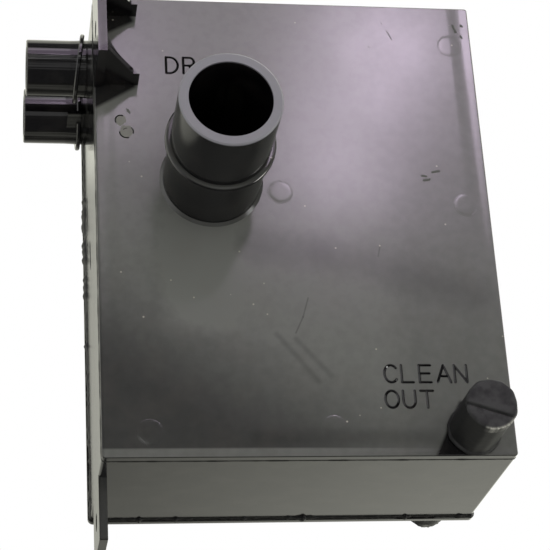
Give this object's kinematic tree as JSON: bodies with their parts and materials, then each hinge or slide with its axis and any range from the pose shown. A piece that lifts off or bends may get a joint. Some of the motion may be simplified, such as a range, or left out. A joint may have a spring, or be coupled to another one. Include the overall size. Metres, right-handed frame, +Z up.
{
  "type": "condensate trap",
  "caption": "Closed box trap with side inlet tubes, a front drain spigot, baffles inside, screw ears and pull-off clean-out caps.",
  "frame": {"origin": "centre of the upper screw hole, on the side that lies against the furnace panel", "axes": "+Z up as installed, +X away from the mounting panel along the screws, -Y towards the drain's mouth"},
  "size_m": [0.1269, 0.1059, 0.1538],
  "materials": {
    "moulded_abs": "glossy moulded black plastic",
    "soft_vinyl": "matte dipped vinyl"
  },
  "bodies": {
    "trap": {"trap_body": "moulded_abs", "rear_cover": "moulded_abs"},
    "front_cap": {"cleanout_cap": "soft_vinyl"},
    "rear_cap": {"rear_cleanout_cap": "soft_vinyl"}
  },
  "joints": [
    {"name": "front_cap_pull", "type": "slide", "parent": "trap", "child": "front_cap", "axis": [0, -1, 0], "range_m": [0, 0.02]},
    {"name": "rear_cap_pull", "type": "slide", "parent": "trap", "child": "rear_cap", "axis": [0, 1, 0], "range_m": [0, 0.009]}
  ]
}
